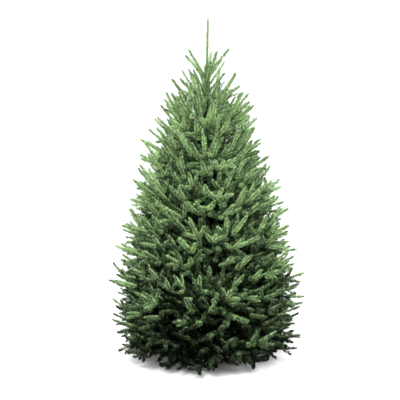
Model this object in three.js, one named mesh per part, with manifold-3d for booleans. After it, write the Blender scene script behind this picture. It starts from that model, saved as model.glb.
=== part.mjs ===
// A cut fir for Christmas, standing in a plain steel screw stand.
//
// Frame: millimetres, +Z up, floor at z = 0, origin under the trunk at the middle of the stand pot's flat
// underside. The tree carries eight whorls of boughs. Each whorl owns a layer of the crown that slopes with its
// boughs, and each bough owns one wedge of that layer: its mass of foliage keeps inside that space.
// Angles are degrees: azimuth is counted from +X towards +Y, and rise is above the level.

import * as THREE from "three";
import { mergeVertices } from "three/addons/utils/BufferGeometryUtils.js";
import Module from "manifold-3d";

const wasm = await Module();
wasm.setup();

// ---------------------------------------------------------------- driving dimensions

const gap = 0.3; // between pieces that touch

const tree = {
  tipHeight: 2100,
  leaderFoot: 1800, // where the top year's bare shoot begins
  buttRadius: 48, // trunk at the cut, before the flare
  buttFlare: 7,
  flareHeight: 90,
  leaderFootRadius: 7,
  leaderTipRadius: 2.5,
  sway: 7, // how far the trunk wanders from a straight line
  leaderLean: [6, 9], // the tip's place beside the axis, in x and y
};

const crown = {
  apex: 2000,
  widestHeight: 450,
  radius: 600, // at the widest, to the tips
  power: 0.6, // rounds the cone's side
  tuck: 55, // how far the skirt draws in below the widest height
  skirtHeight: 50, // lowest needles above the floor
};

const whorl = {
  count: 8,
  lowest: 240,
  highest: 1760,
  lowestRise: -14,
  highestRise: 52,
  risePower: 0.65,
  masses: [5, 5, 5, 5, 4, 4, 3, 3], // boughs in each whorl, from the lowest
  withBoughs: 3, // lower whorls whose boughs are bare near the trunk
  turn: 137.5,
  upturn: 0.05, // a limb's end lifts by this share of its reach
};

const bough = { share: 0.4, rootRadius: 11, tipRadius: 7.5, sides: 5, rings: 2 };

const twig = { stemTipRadius: 3, radius: 3.2, tipRadius: 2 };

// A spray is one shoot with its needles, drawn larger than life: two rings of needle points, then the tip.
const spray = {
  length: 215,
  radius: 31,
  least: 0.42, // size in the smallest mass, as a share of the size at the crown's full radius
  rings: [[0, 0], [0.48, 1], [0.76, 0.68], [1, 0]], // place along the spray and share of its radius
  room: 1.7, // least distance between two sprays' middle lines, as a share of the radius
};

// The dense middle of a mass, as shares of its limb's reach, its wedge and its layer's thickness.
const core = { whorls: 7, from: 0.16, fromBough: 0.42, to: 0.8, width: 0.95, thickness: 1.08, sides: 6 };

// Sprays over a mass's outer face: rows and columns for each whorl, from the lowest.
const grid = {
  of: [[3, 5], [3, 5], [3, 5], [3, 4], [3, 4], [3, 3], [2, 3], [2, 2]],
  fill: 0.92, // of the wedge's width
  nearest: 0.93, // how near and how far the tips lie, as shares of the crown's radius
  furthest: 1.04,
  fan: 27, // how much the top row turns up and the bottom row down
};

const stand = {
  potRadius: 86,
  potHeight: 140,
  wall: 3,
  floor: 4,
  rim: 4.5, // radius of the rolled rim
  potSides: 20,
  screwHeight: 116,
  screwRadius: 4.5,
  screwOutside: 52, // how far a screw stands out of the wall
  handleLength: 46,
  handleRadius: 3.2,
  bossRadius: 10,
  bossDepth: 7,
  legReach: 288,
  legWidth: 34,
  legThick: 6,
  legTop: 96,
  legFlange: 44,
  footLength: 46,
  bendOut: 26, // how far the leg runs level before it slopes down
};

const seed = 24;

// ---------------------------------------------------------------- small helpers

const rad = THREE.MathUtils.degToRad;
const lerp = THREE.MathUtils.lerp;
const V = (x, y, z) => new THREE.Vector3(x, y, z);
const upward = V(0, 0, 1);

// Repeatable numbers from 0 to 1: the same seed gives the same row.
function seeded(start) {
  let a = start >>> 0;
  return () => {
    a = (a + 0x6d2b79f5) >>> 0;
    let t = a;
    t = Math.imul(t ^ (t >>> 15), t | 1);
    t ^= t + Math.imul(t ^ (t >>> 7), t | 61);
    return ((t ^ (t >>> 14)) >>> 0) / 4294967296;
  };
}

const polar = (radius, azimuth, z) => V(radius * Math.cos(azimuth), radius * Math.sin(azimuth), z);

const turned = (degreesApart) => degreesApart - 360 * Math.round(degreesApart / 360);

// A closed skin over rings of points, counter-clockwise round the way they advance. A ring of one point is a tip.
function skin(rings) {
  const position = [];
  const index = [];
  const first = rings.map((ring) => {
    const at = position.length / 3;
    ring.forEach((p) => position.push(p.x, p.y, p.z));
    return at;
  });
  const at = (ring, j) => first[ring] + (j % rings[ring].length);
  for (let i = 0; i + 1 < rings.length; i++) {
    const sides = Math.max(rings[i].length, rings[i + 1].length);
    for (let j = 0; j < sides; j++) {
      if (rings[i].length > 1) index.push(at(i, j), at(i, j + 1), at(i + 1, j));
      if (rings[i + 1].length > 1) index.push(at(i, j + 1), at(i + 1, j + 1), at(i + 1, j));
    }
  }
  const last = rings.length - 1;
  for (let j = 1; j + 1 < rings[0].length; j++) index.push(at(0, 0), at(0, j + 1), at(0, j));
  for (let j = 1; j + 1 < rings[last].length; j++) index.push(at(last, 0), at(last, j), at(last, j + 1));
  return new THREE.BufferGeometry()
    .setAttribute("position", new THREE.Float32BufferAttribute(position, 3))
    .setIndex(index);
}

function solidOf(geometry) {
  const bare = geometry.index ? geometry.toNonIndexed() : geometry.clone();
  bare.deleteAttribute("normal");
  bare.deleteAttribute("uv");
  const merged = mergeVertices(bare, 1e-3);
  const kept = [];
  for (let i = 0; i < merged.index.count; i += 3) {
    const [a, b, c] = [0, 1, 2].map((k) => merged.index.getX(i + k));
    if (a !== b && b !== c && c !== a) kept.push(a, b, c);
  }
  return new wasm.Manifold(
    new wasm.Mesh({
      numProp: 3,
      vertProperties: new Float32Array(merged.attributes.position.array),
      triVerts: new Uint32Array(kept),
    }),
  );
}

function geometryOf(solid) {
  const mesh = solid.getMesh();
  const position = new Float32Array(mesh.numVert * 3);
  for (let i = 0; i < mesh.numVert; i++) {
    position.set(mesh.vertProperties.subarray(i * mesh.numProp, i * mesh.numProp + 3), i * 3);
  }
  const geometry = new THREE.BufferGeometry()
    .setAttribute("position", new THREE.BufferAttribute(position, 3))
    .setIndex(new THREE.BufferAttribute(new Uint32Array(mesh.triVerts), 1));
  geometry.computeVertexNormals();
  return geometry;
}

// The largest body alone: a loose scrap goes, and a hollow that fusing sealed is filled.
function onePiece(solid) {
  return solid.decompose().reduce((a, b) => (b.volume() > a.volume() ? b : a));
}

function fused(solids) {
  return onePiece(solids.reduce((a, b) => a.add(b)));
}

// Two unit vectors square to a direction, the second as near to straight up as it can be.
function across(direction) {
  const side = Math.abs(direction.z) > 0.99 ? V(1, 0, 0) : V().crossVectors(direction, upward).normalize();
  return [side, V().crossVectors(side, direction).normalize()];
}

function ringAt(centre, direction, radius, sides, turn = 0) {
  const [side, up] = across(direction);
  return Array.from({ length: sides }, (_, j) => {
    const a = turn + (2 * Math.PI * j) / sides;
    return centre
      .clone()
      .addScaledVector(side, radius * Math.cos(a))
      .addScaledVector(up, -radius * Math.sin(a));
  });
}

// A tapering limb through points, with a radius for each.
function limb(points, radii, sides) {
  return skin(
    points.map((p, i) => {
      const before = points[Math.max(0, i - 1)];
      const after = points[Math.min(points.length - 1, i + 1)];
      return ringAt(p, after.clone().sub(before).normalize(), radii[i], sides);
    }),
  );
}

// ---------------------------------------------------------------- the tree's rule

// Reach of the needle tips from the axis at a height.
function crownRadius(z) {
  if (z >= crown.apex) return 0;
  if (z >= crown.widestHeight) {
    return crown.radius * ((crown.apex - z) / (crown.apex - crown.widestHeight)) ** crown.power;
  }
  const below = (crown.widestHeight - z) / (crown.widestHeight - crown.skirtHeight);
  return crown.radius - crown.tuck * below * below;
}

// The trunk's middle line, which wanders a little and leans at the leader.
function trunkCentre(z) {
  const t = z / tree.leaderFoot;
  const fade = Math.min(1, Math.max(0, z - stand.potHeight) / 300);
  const lean = Math.max(0, (z - tree.leaderFoot) / (tree.tipHeight - tree.leaderFoot)) ** 1.5;
  return V(
    fade * tree.sway * Math.sin(2.1 * Math.PI * t) * Math.max(0, 1 - t) + tree.leaderLean[0] * lean,
    fade * tree.sway * Math.sin(1.4 * Math.PI * t) * Math.max(0, 1 - t) + tree.leaderLean[1] * lean,
    z,
  );
}

function trunkRadius(z) {
  const straight = lerp(tree.buttRadius, tree.leaderFootRadius, Math.min(1, z / tree.leaderFoot));
  const flare = tree.buttFlare * Math.exp(-z / tree.flareHeight);
  return straight + flare;
}

const share = (k) => Math.min(1, Math.max(0, k / (whorl.count - 1)));
const whorlHeight = (k) => whorl.lowest + (whorl.highest - whorl.lowest) * share(k);
const whorlRise = (k) => rad(lerp(whorl.lowestRise, whorl.highestRise, share(k) ** whorl.risePower));

// The sloping boundary over a whorl's layer, at a radius from the axis. The top layer has none.
function layerTop(k, r) {
  if (k < 0) return crown.skirtHeight;
  if (k >= whorl.count - 1) return crown.apex;
  const middle = (whorlHeight(k) + whorlHeight(k + 1)) / 2;
  const slope = (Math.tan(whorlRise(k)) + Math.tan(whorlRise(k + 1))) / 2;
  return middle + slope * r;
}

const massAzimuth = (k, i) => k * whorl.turn + (360 / whorl.masses[k]) * i;

// How far a point is inside the space of mass i of whorl k: negative outside.
function depthInSpace(k, i, p) {
  const r = Math.hypot(p.x, p.y);
  const away = Math.abs(turned(THREE.MathUtils.radToDeg(Math.atan2(p.y, p.x)) - massAzimuth(k, i)));
  const toSide = r * Math.sin(rad(Math.min(90, 180 / whorl.masses[k] - away)));
  const slope = Math.cos(whorlRise(k));
  const toTop = (layerTop(k, r) - p.z) * slope;
  const toFloor = k === 0 ? p.z - crown.skirtHeight : (p.z - layerTop(k - 1, r)) * slope;
  const toTrunk = r - trunkRadius(p.z) - 4;
  return Math.min(toSide, toTop, toFloor, toTrunk);
}

// A limb's middle line, from the trunk's axis (0) to the crown's edge (1).
function limbPoint(k, i, reach, t) {
  const start = trunkCentre(whorlHeight(k));
  const r = reach * t;
  const z = whorlHeight(k) + r * Math.tan(whorlRise(k)) + whorl.upturn * reach * t * t;
  return polar(r, rad(massAzimuth(k, i)), z).add(V(start.x, start.y, 0));
}

// Where a limb of whorl k meets the crown's edge, found by halving.
function limbReach(k) {
  let [inside, outside] = [0, 2 * crown.radius];
  for (let step = 0; step < 30; step++) {
    const r = (inside + outside) / 2;
    const z = limbPoint(k, 0, r, 1).z;
    if (r < crownRadius(z)) inside = r;
    else outside = r;
  }
  return inside;
}

// ---------------------------------------------------------------- trunk, boughs and foliage

function trunkSolid(extra = 0) {
  const foot = stand.floor + gap - extra;
  const rings = 12;
  const points = [];
  const radii = [];
  for (let n = 0; n <= rings; n++) {
    const z = lerp(foot, tree.leaderFoot, (n / rings) ** 1.25);
    points.push(trunkCentre(z));
    radii.push(trunkRadius(z) + extra);
  }
  return solidOf(limb(points, radii, 10));
}

const trunk = trunkSolid();
const trunkCutter = trunkSolid(gap);

// One shoot with its needles, from a root point along a direction.
function sprayRings(root, direction, length, radius, turn) {
  return spray.rings.map(([t, wide], n) => {
    const centre = root.clone().addScaledVector(direction, t * length);
    if (wide === 0) return [centre];
    return ringAt(centre, direction, wide * radius, 3, turn + (n * Math.PI) / 3);
  });
}

// The dense middle of a mass: a lumpy spindle round the stem, inside the space on every side.
function coreRings(k, i, reach, random) {
  const halfWedge = rad(180 / whorl.masses[k]);
  const start = k < whorl.withBoughs ? core.fromBough : core.from;
  const stations = [
    [start, 0],
    [lerp(start, core.to, 0.4), 0.9],
    [lerp(start, core.to, 0.8), 1],
    [core.to, 0],
  ];
  return stations.map(([t, wide]) => {
    const middle = limbPoint(k, i, reach, t);
    const r = Math.hypot(middle.x, middle.y);
    const z = (Math.max(crown.skirtHeight, layerTop(k - 1, r)) + layerTop(k, r)) / 2;
    const thick = layerTop(k, r) - Math.max(crown.skirtHeight, layerTop(k - 1, r));
    if (wide === 0) return [middle];
    const azimuth = Math.atan2(middle.y, middle.x);
    return Array.from({ length: core.sides }, (_, j) => {
      const a = (2 * Math.PI * j) / core.sides;
      const lump = wide * lerp(0.84, 1.02, random());
      const sideways = core.width * halfWedge * Math.cos(a) * lump;
      const height = core.thickness * (thick / 2) * Math.sin(a) * lump;
      return polar(r * lerp(0.98, 1.02, random()), azimuth + sideways, z + height);
    });
  });
}

// Distance between the middles of two short straight pieces, sampled at their ends and halves.
function apart(a, b) {
  const samples = [0.15, 0.5, 0.85];
  let least = Infinity;
  for (const s of samples) {
    for (const t of samples) {
      const p = a[0].clone().lerp(a[1], s);
      least = Math.min(least, p.distanceTo(b[0].clone().lerp(b[1], t)));
    }
  }
  return least;
}

// The whole foliage of one limb, inside its own space. The stem grows on from the bough or the trunk. Twigs leave it
// in rows and columns over the mass's outer face, each turned out and up, and end in a spray near the crown's edge.
function massSolid(k, i) {
  const random = seeded(seed + 100 * k + i);
  const reach = limbReach(k) * lerp(0.96, 1.04, random());
  const size = lerp(spray.least, 1, reach / crown.radius);
  const length = spray.length * size;
  const width = spray.radius * size;
  const hasBough = k < whorl.withBoughs;
  const start = hasBough ? bough.share : 0;
  const parts = [];
  const sprayLines = [];
  const fits = (points, margin) => points.every((p) => depthInSpace(k, i, p) > margin);

  // The stem, from the bough's flat tip or from inside the trunk.
  const slant = reach / Math.cos(whorlRise(k));
  const stemEnd = Math.max(0.3, 1 - (0.85 * length) / slant);
  const steps = 3;
  const rootRadius = hasBough ? bough.tipRadius : lerp(4, 7.5, reach / crown.radius);
  const stemPoints = [];
  const stemRadii = [];
  for (let n = 0; n <= steps; n++) {
    stemPoints.push(limbPoint(k, i, reach, lerp(start, stemEnd, n / steps)));
    stemRadii.push(lerp(rootRadius, twig.stemTipRadius, n / steps));
  }
  if (hasBough) {
    stemPoints[0].addScaledVector(stemPoints[1].clone().sub(stemPoints[0]).normalize(), gap);
  }
  parts.push(solidOf(limb(stemPoints, stemRadii, 4)));
  if (k < core.whorls) parts.push(solidOf(skin(coreRings(k, i, reach, random))));

  // A spray keeps inside the space, clear of its neighbours. It shortens to fit, and is skipped if it can't.
  function addSpray(root, direction, wanted) {
    for (let shorter = 1; shorter > 0.6; shorter -= 0.13) {
      const rings = sprayRings(root, direction, wanted * shorter, width, random() * 6);
      const tip = rings[rings.length - 1][0];
      if (!fits(rings.slice(2).flat(), 4)) continue;
      if (Math.hypot(tip.x, tip.y) > crownRadius(tip.z) * 1.06 + 10) continue;
      const line = [root, tip];
      if (sprayLines.some((other) => apart(line, other) < width * spray.room)) continue;
      sprayLines.push(line);
      return solidOf(skin(rings));
    }
    return null;
  }

  const stemTip = stemPoints[steps];
  const stemWay = stemTip.clone().sub(stemPoints[steps - 1]).normalize();
  const end = addSpray(stemTip.clone().addScaledVector(stemWay, -8), stemWay, length);
  if (end) parts.push(end);

  const [rows, columns] = grid.of[k];
  const halfWedge = 180 / whorl.masses[k];
  for (let row = 0; row < rows; row++) {
    for (let column = 0; column < columns; column++) {
      const stagger = (row % 2) * 0.5 - 0.25;
      const u = ((column + 0.5 + stagger + 0.2 * (random() - 0.5)) / columns) * 2 - 1;
      const v = row / (rows - 1) + 0.16 * (0.5 - row / (rows - 1)) * (1 + random());
      const azimuth = rad(massAzimuth(k, i) + u * halfWedge * grid.fill);
      // the place on the crown's edge, at share v of the layer's thickness
      let r = reach;
      let z = 0;
      for (let settle = 0; settle < 12; settle++) {
        const low = Math.max(crown.skirtHeight, layerTop(k - 1, r));
        z = lerp(low, Math.min(layerTop(k, r), crown.apex - 20), lerp(0.02, 0.98, v));
        r = lerp(r, crownRadius(z), 0.5);
      }
      r *= lerp(grid.nearest, grid.furthest, random());
      const target = polar(r, azimuth, z);
      const sideways = Math.abs(r * Math.sin(rad(u * halfWedge)));
      const leave = THREE.MathUtils.clamp((r - sideways - 0.8 * length) / reach, start + 0.03, stemEnd - 0.03);
      const from = limbPoint(k, i, reach, leave);
      const rise = whorlRise(k) + rad(lerp(-grid.fan, grid.fan, v));
      const outward = polar(Math.cos(rise), azimuth, Math.sin(rise));
      const way = target.clone().sub(from).normalize().lerp(outward, 0.45).normalize();
      const wanted = length * lerp(0.85, 1.1, random());
      const root = target.clone().addScaledVector(way, -wanted);
      const made = addSpray(root, way, wanted);
      if (!made) continue;
      // the twig to a root that stands out of the bulk
      const carried = root.clone().addScaledVector(way, 0.16 * wanted);
      parts.push(solidOf(limb([from, carried], [twig.radius, twig.tipRadius], 3)));
      parts.push(made);
    }
  }
  const made = fused(parts);
  return hasBough ? made : onePiece(made.subtract(trunkCutter));
}

function boughSolid(k, i) {
  const random = seeded(seed + 100 * k + i);
  const reach = limbReach(k) * lerp(0.96, 1.04, random());
  const points = [];
  const radii = [];
  for (let n = 0; n <= bough.rings; n++) {
    const t = n / bough.rings;
    points.push(limbPoint(k, i, reach, lerp(0.02, bough.share, t)));
    const collar = 3 * Math.exp(-8 * t);
    radii.push(lerp(bough.rootRadius, bough.tipRadius, t) + collar);
  }
  return onePiece(solidOf(limb(points, radii, bough.sides)).subtract(trunkCutter));
}

// The top year's shoot: a slim stem that needles stand out of, on the trunk's end.
function leaderSolid() {
  const random = seeded(seed + 999);
  const foot = tree.leaderFoot + gap;
  const points = [];
  const radii = [];
  const rings = 6;
  for (let n = 0; n <= rings; n++) {
    const z = lerp(foot, tree.tipHeight - 6, n / rings);
    points.push(trunkCentre(z));
    radii.push(lerp(tree.leaderFootRadius - 1, tree.leaderTipRadius, n / rings));
  }
  const parts = [solidOf(limb(points, radii, 5))];
  const needles = 14;
  for (let n = 0; n < needles; n++) {
    const z = lerp(foot + 14, tree.tipHeight - 18, n / needles);
    const azimuth = rad(whorl.turn * n + 20 * random());
    const direction = polar(Math.sin(rad(38)), azimuth, Math.cos(rad(38)));
    const root = trunkCentre(z);
    const tip = root.clone().addScaledVector(direction, 19);
    parts.push(solidOf(skin([ringAt(root, direction, 1.8, 3), [tip]])));
  }
  return fused(parts);
}

// ---------------------------------------------------------------- the stand

const screwAzimuths = [45, 135, 225, 315];
const legAzimuths = [0, 90, 180, 270];

function cylinderAlongX(radius, from, to, sides) {
  return new THREE.CylinderGeometry(radius, radius, to - from, sides)
    .rotateZ(-Math.PI / 2)
    .translate((from + to) / 2, 0, 0);
}

function potSolid() {
  const { potRadius: outer, wall, floor, potHeight: height, rim } = stand;
  const inner = outer - wall;
  const profile = [
    [0, 0],
    [outer - 6, 0],
    [outer - 1.5, 2],
    [outer, 6],
    [outer, height - rim],
    [outer + rim * 0.75, height - rim * 0.85],
    [outer + rim * 0.9, height - rim * 0.25],
    [outer + rim * 0.3, height],
    [inner, height],
    [inner, floor + 5],
    [inner - 4, floor],
    [0, floor],
  ].map(([r, z]) => new THREE.Vector2(r, z));
  let pot = solidOf(new THREE.LatheGeometry(profile, stand.potSides).rotateX(Math.PI / 2));
  for (const azimuth of screwAzimuths) {
    const boss = cylinderAlongX(stand.bossRadius, inner + 1, outer + stand.bossDepth, 8);
    const hole = cylinderAlongX(stand.screwRadius + gap, inner - 20, outer + 30, 8);
    for (const [piece, act] of [[boss, "add"], [hole, "subtract"]]) {
      piece.translate(0, 0, stand.screwHeight).rotateZ(rad(azimuth));
      pot = pot[act](solidOf(piece));
    }
  }
  return pot;
}

function screwGeometry() {
  const from = trunkRadius(stand.screwHeight) + gap + 0.3;
  const to = stand.potRadius + stand.screwOutside;
  const shank = solidOf(cylinderAlongX(stand.screwRadius, from, to, 8));
  const handle = new THREE.CylinderGeometry(stand.handleRadius, stand.handleRadius, stand.handleLength, 6)
    .rotateX(Math.PI / 2)
    .translate(to - 7, 0, 0);
  return geometryOf(shank.add(solidOf(handle)));
}

// A bent flat bar: a flange up the pot's wall, a short level run, a slope and a foot on the floor.
function legGeometry() {
  const { legThick: t, legTop, legFlange, legReach, footLength, bendOut } = stand;
  const inside = stand.potRadius + gap;
  const top = legTop;
  const shape = new THREE.Shape();
  const outline = [
    [inside, top - legFlange],
    [inside + t, top - legFlange],
    [inside + t, top - t],
    [inside + bendOut, top - t],
    [legReach - footLength - 4, 0],
    [legReach, 0],
    [legReach, t],
    [legReach - footLength, t],
    [inside + bendOut + 4, top],
    [inside, top],
  ];
  shape.setFromPoints(outline.map(([x, z]) => new THREE.Vector2(x, z)));
  return new THREE.ExtrudeGeometry(shape, { depth: stand.legWidth, bevelEnabled: false })
    .rotateX(Math.PI / 2)
    .translate(0, stand.legWidth / 2, 0);
}

// ---------------------------------------------------------------- the assembly

const materials = {
  bark: new THREE.MeshStandardMaterial({ color: 0x6d5f4f, roughness: 0.95 }),
  needles: new THREE.MeshStandardMaterial({ color: 0x5f8450, roughness: 0.7 }),
  steel: new THREE.MeshStandardMaterial({ color: 0x24382b, roughness: 0.45, metalness: 0.3 }),
  zinc: new THREE.MeshStandardMaterial({ color: 0xa9adb0, roughness: 0.35, metalness: 0.9 }),
};

const assembly = new THREE.Group();

function place(name, geometry, material) {
  const mesh = new THREE.Mesh(geometry, material);
  mesh.name = name;
  assembly.add(mesh);
  return mesh;
}

place("trunk", geometryOf(trunk), materials.bark);
place("leader", geometryOf(leaderSolid()), materials.needles);

for (let k = 0; k < whorl.count; k++) {
  for (let i = 0; i < whorl.masses[k]; i++) {
    const label = `${k + 1}_${i + 1}`;
    if (k < whorl.withBoughs) place(`bough_${label}`, geometryOf(boughSolid(k, i)), materials.bark);
    place(`foliage_${label}`, geometryOf(massSolid(k, i)), materials.needles);
  }
}

place("stand_pot", geometryOf(potSolid()), materials.steel);
legAzimuths.forEach((azimuth, n) => {
  place(`stand_leg_${n + 1}`, legGeometry(), materials.steel).rotation.z = rad(azimuth);
});
screwAzimuths.forEach((azimuth, n) => {
  const screw = place(`stand_screw_${n + 1}`, screwGeometry(), materials.zinc);
  screw.rotation.z = rad(azimuth);
  screw.position.z = stand.screwHeight;
});

export default assembly;
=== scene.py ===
"""A cut conifer for Christmas in a plain steel screw stand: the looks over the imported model."""

import math

import bpy
import numpy as np
from bpy.props import FloatProperty, FloatVectorProperty, PointerProperty
from mathutils import Matrix, Vector


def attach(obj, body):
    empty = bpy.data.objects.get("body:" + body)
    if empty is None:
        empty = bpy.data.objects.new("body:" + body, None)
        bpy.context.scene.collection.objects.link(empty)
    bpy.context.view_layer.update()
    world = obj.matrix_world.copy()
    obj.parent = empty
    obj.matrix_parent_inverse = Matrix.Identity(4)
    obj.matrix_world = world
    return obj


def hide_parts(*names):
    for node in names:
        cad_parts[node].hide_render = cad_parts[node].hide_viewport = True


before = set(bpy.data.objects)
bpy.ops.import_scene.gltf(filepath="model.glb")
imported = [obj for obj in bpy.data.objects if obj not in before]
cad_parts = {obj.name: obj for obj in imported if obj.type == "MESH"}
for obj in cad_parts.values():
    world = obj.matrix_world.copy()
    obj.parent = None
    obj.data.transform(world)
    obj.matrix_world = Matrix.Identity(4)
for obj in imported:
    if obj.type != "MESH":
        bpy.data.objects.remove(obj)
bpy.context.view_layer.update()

bl_info = {
    "name": "Cut Christmas conifer",
    "version": (1, 0, 0),
    "blender": (4, 5, 0),
    "location": "View3D > Sidebar > Conifer",
    "description": "Grows bark, boughs, twigs and needles over the packed tree and finishes its stand",
    "category": "Object",
}

# ---------------------------------------------------------------- the tree's rule, in metres

GAP = 0.0003
SEED = 24

TREE = {
    "tip": 2.100,
    "leader_foot": 1.800,
    "butt": 0.048,
    "flare": 0.007,
    "flare_height": 0.090,
    "leader_foot_radius": 0.007,
    "sway": 0.007,
    "lean": (0.006, 0.009),
}
CROWN = {"apex": 2.000, "widest": 0.450, "radius": 0.600, "power": 0.6, "tuck": 0.055, "skirt": 0.050}
WHORL = {
    "count": 8,
    "lowest": 0.240,
    "highest": 1.760,
    "lowest_rise": -14,
    "highest_rise": 52,
    "rise_power": 0.65,
    "masses": (5, 5, 5, 5, 4, 4, 3, 3),
    "with_boughs": 3,
    "turn": 137.5,
    "upturn": 0.05,
}
BOUGH = {"share": 0.4, "root": 0.011, "tip": 0.0075}
SPRAY = {
    "length": 0.215,
    "radius": 0.031,
    "least": 0.42,
    "rings": ((0, 0), (0.48, 1), (0.76, 0.68), (1, 0)),
    "room": 1.7,
}
CORE = {"whorls": 7, "sides": 6}
GRID = {
    "of": ((3, 5), (3, 5), (3, 5), (3, 4), (3, 4), (3, 3), (2, 3), (2, 2)),
    "fill": 0.92,
    "nearest": 0.93,
    "furthest": 1.04,
    "fan": 27,
}
POT = {"radius": 0.086, "height": 0.140, "wall": 0.003, "floor": 0.004}
RIM = {"radius": 0.0034, "out": 0.0008, "drop": 0.0036}
SCREW = {"height": 0.116, "radius": 0.0045, "outside": 0.052, "handle": 0.046, "handle_radius": 0.0032}
BOSS = {"radius": 0.010, "depth": 0.007}
SCREW_AZIMUTHS = (45, 135, 225, 315)
LEG_AZIMUTHS = (0, 90, 180, 270)
LEG = {
    "reach": 0.288,
    "width": 0.034,
    "thick": 0.006,
    "top": 0.096,
    "flange": 0.044,
    "foot": 0.046,
    "bend": 0.026,
}
BOLT = {"radius": 0.0048, "height": 0.0036, "aside": 0.009, "drop": 0.62}
THREAD = {"pitch": 0.0016, "crest": 0.97, "root": 0.82, "from_handle": 0.014}

rad = math.radians
UP = Vector((0, 0, 1))


def lerp(a, b, t):
    return a + (b - a) * t


def seeded(start):
    """Repeatable numbers from 0 to 1: the same seed gives the same row as in the solids."""
    state = start & 0xFFFFFFFF

    def draw():
        nonlocal state
        state = (state + 0x6D2B79F5) & 0xFFFFFFFF
        t = ((state ^ (state >> 15)) * (state | 1)) & 0xFFFFFFFF
        t ^= (t + (t ^ (t >> 7)) * (t | 61)) & 0xFFFFFFFF
        return (t ^ (t >> 14)) / 4294967296

    return draw


def polar(radius, azimuth, z):
    return Vector((radius * math.cos(azimuth), radius * math.sin(azimuth), z))


def crown_radius(z):
    """Reach of the needle tips from the axis at a height."""
    if z >= CROWN["apex"]:
        return 0.0
    if z >= CROWN["widest"]:
        return CROWN["radius"] * ((CROWN["apex"] - z) / (CROWN["apex"] - CROWN["widest"])) ** CROWN["power"]
    below = (CROWN["widest"] - z) / (CROWN["widest"] - CROWN["skirt"])
    return CROWN["radius"] - CROWN["tuck"] * below * below


def trunk_centre(z):
    """The trunk's middle line, which wanders a little and leans at the leader."""
    t = z / TREE["leader_foot"]
    fade = min(1, max(0, z - POT["height"]) / 0.3)
    lean = max(0, (z - TREE["leader_foot"]) / (TREE["tip"] - TREE["leader_foot"])) ** 1.5
    still = fade * TREE["sway"] * max(0, 1 - t)
    return Vector(
        (
            still * math.sin(2.1 * math.pi * t) + TREE["lean"][0] * lean,
            still * math.sin(1.4 * math.pi * t) + TREE["lean"][1] * lean,
            z,
        )
    )


def trunk_radius(z):
    straight = lerp(TREE["butt"], TREE["leader_foot_radius"], min(1, z / TREE["leader_foot"]))
    return straight + TREE["flare"] * math.exp(-z / TREE["flare_height"])


def share(k):
    return min(1, max(0, k / (WHORL["count"] - 1)))


def whorl_height(k):
    return lerp(WHORL["lowest"], WHORL["highest"], share(k))


def whorl_rise(k):
    return rad(lerp(WHORL["lowest_rise"], WHORL["highest_rise"], share(k) ** WHORL["rise_power"]))


def layer_top(k, r):
    """The sloping boundary over a whorl's layer, at a radius from the axis."""
    if k < 0:
        return CROWN["skirt"]
    if k >= WHORL["count"] - 1:
        return CROWN["apex"]
    slope = (math.tan(whorl_rise(k)) + math.tan(whorl_rise(k + 1))) / 2
    return (whorl_height(k) + whorl_height(k + 1)) / 2 + slope * r


def mass_azimuth(k, i):
    return k * WHORL["turn"] + (360 / WHORL["masses"][k]) * i


def fuller(p):
    """The crown is a little fuller on one side over its upper middle."""
    return 1 - 0.09 * math.exp(-(((p.z - 1.36) / 0.17) ** 2)) * math.cos(math.atan2(p.y, p.x))


def depth_in_space(k, i, p):
    """How far a point is inside the space of mass i of whorl k: negative outside."""
    r = math.hypot(p.x, p.y)
    away = math.degrees(math.atan2(p.y, p.x)) - mass_azimuth(k, i)
    away = abs(away - 360 * math.floor(away / 360 + 0.5))
    to_side = r * math.sin(rad(min(90, 180 / WHORL["masses"][k] - away)))
    slope = math.cos(whorl_rise(k))
    to_top = (layer_top(k, r) - p.z) * slope
    to_floor = p.z - CROWN["skirt"] if k == 0 else (p.z - layer_top(k - 1, r)) * slope
    to_trunk = r - trunk_radius(p.z) - 0.004
    return min(to_side, to_top, to_floor, to_trunk)


def limb_point(k, i, reach, t):
    """A limb's middle line, from the trunk's axis (0) to the crown's edge (1)."""
    start = trunk_centre(whorl_height(k))
    r = reach * t
    z = whorl_height(k) + r * math.tan(whorl_rise(k)) + WHORL["upturn"] * reach * t * t
    return polar(r, rad(mass_azimuth(k, i)), z) + Vector((start.x, start.y, 0))


def limb_reach(k):
    """Where a limb of whorl k meets the crown's edge, found by halving."""
    inside, outside = 0.0, 2 * CROWN["radius"]
    for _ in range(30):
        r = (inside + outside) / 2
        if r < crown_radius(limb_point(k, 0, r, 1).z):
            inside = r
        else:
            outside = r
    return inside


def across(direction):
    """Two unit vectors square to a direction, the second as near to straight up as it can be."""
    side = Vector((1, 0, 0)) if abs(direction.z) > 0.99 else direction.cross(UP).normalized()
    return side, side.cross(direction).normalized()


def ring_at(centre, direction, radius, sides, turn=0.0):
    side, up = across(direction)
    ring = []
    for j in range(sides):
        a = turn + 2 * math.pi * j / sides
        ring.append(centre + side * (radius * math.cos(a)) - up * (radius * math.sin(a)))
    return ring


def apart(a, b):
    samples = (0.15, 0.5, 0.85)
    return min((a[0].lerp(a[1], s) - b[0].lerp(b[1], t)).length for s in samples for t in samples)


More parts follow.
